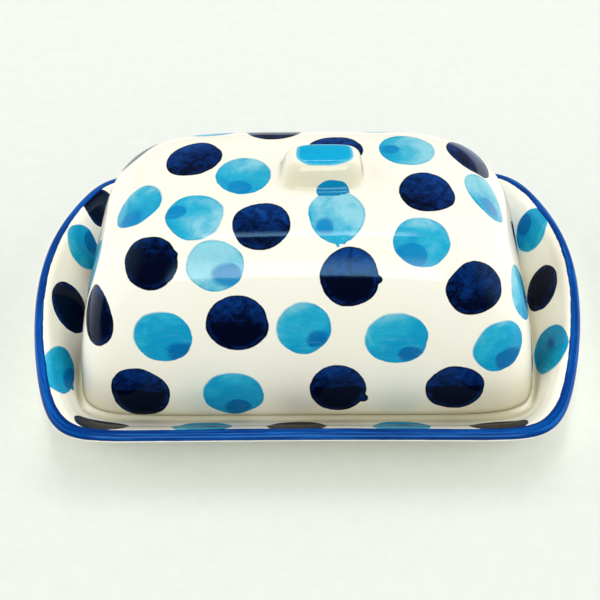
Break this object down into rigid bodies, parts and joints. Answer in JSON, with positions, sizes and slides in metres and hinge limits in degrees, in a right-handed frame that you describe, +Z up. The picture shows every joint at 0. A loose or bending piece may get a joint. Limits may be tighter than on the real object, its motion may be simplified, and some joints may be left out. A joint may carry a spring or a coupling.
{
  "type": "butter dish",
  "caption": "Covered butter dish in hand-painted glazed stoneware: a flared tray on a foot ring and a loose domed cover with a knob.",
  "frame": {"origin": "centre of the foot ring, in the plane it stands on", "axes": "+Z up, +X along the length, Y across the width"},
  "size_m": [0.2, 0.1431, 0.0864],
  "materials": {
    "dish_glaze": "glossy clear glaze over warm ivory stoneware, cobalt blue rim band, navy and turquoise hand-painted dots round the inside of the wall, bare foot ring",
    "lid_glaze": "glossy clear glaze over warm ivory stoneware, navy and turquoise hand-painted dots, turquoise wash on top of the knob, bare bottom edge"
  },
  "bodies": {
    "dish": {"dish": "dish_glaze"},
    "lid": {"lid": "lid_glaze"}
  },
  "joints": [
    {"name": "lid_lift", "type": "slide", "parent": "dish", "child": "lid", "axis": [0, 0, 1], "range_m": [0, 0.085]}
  ]
}
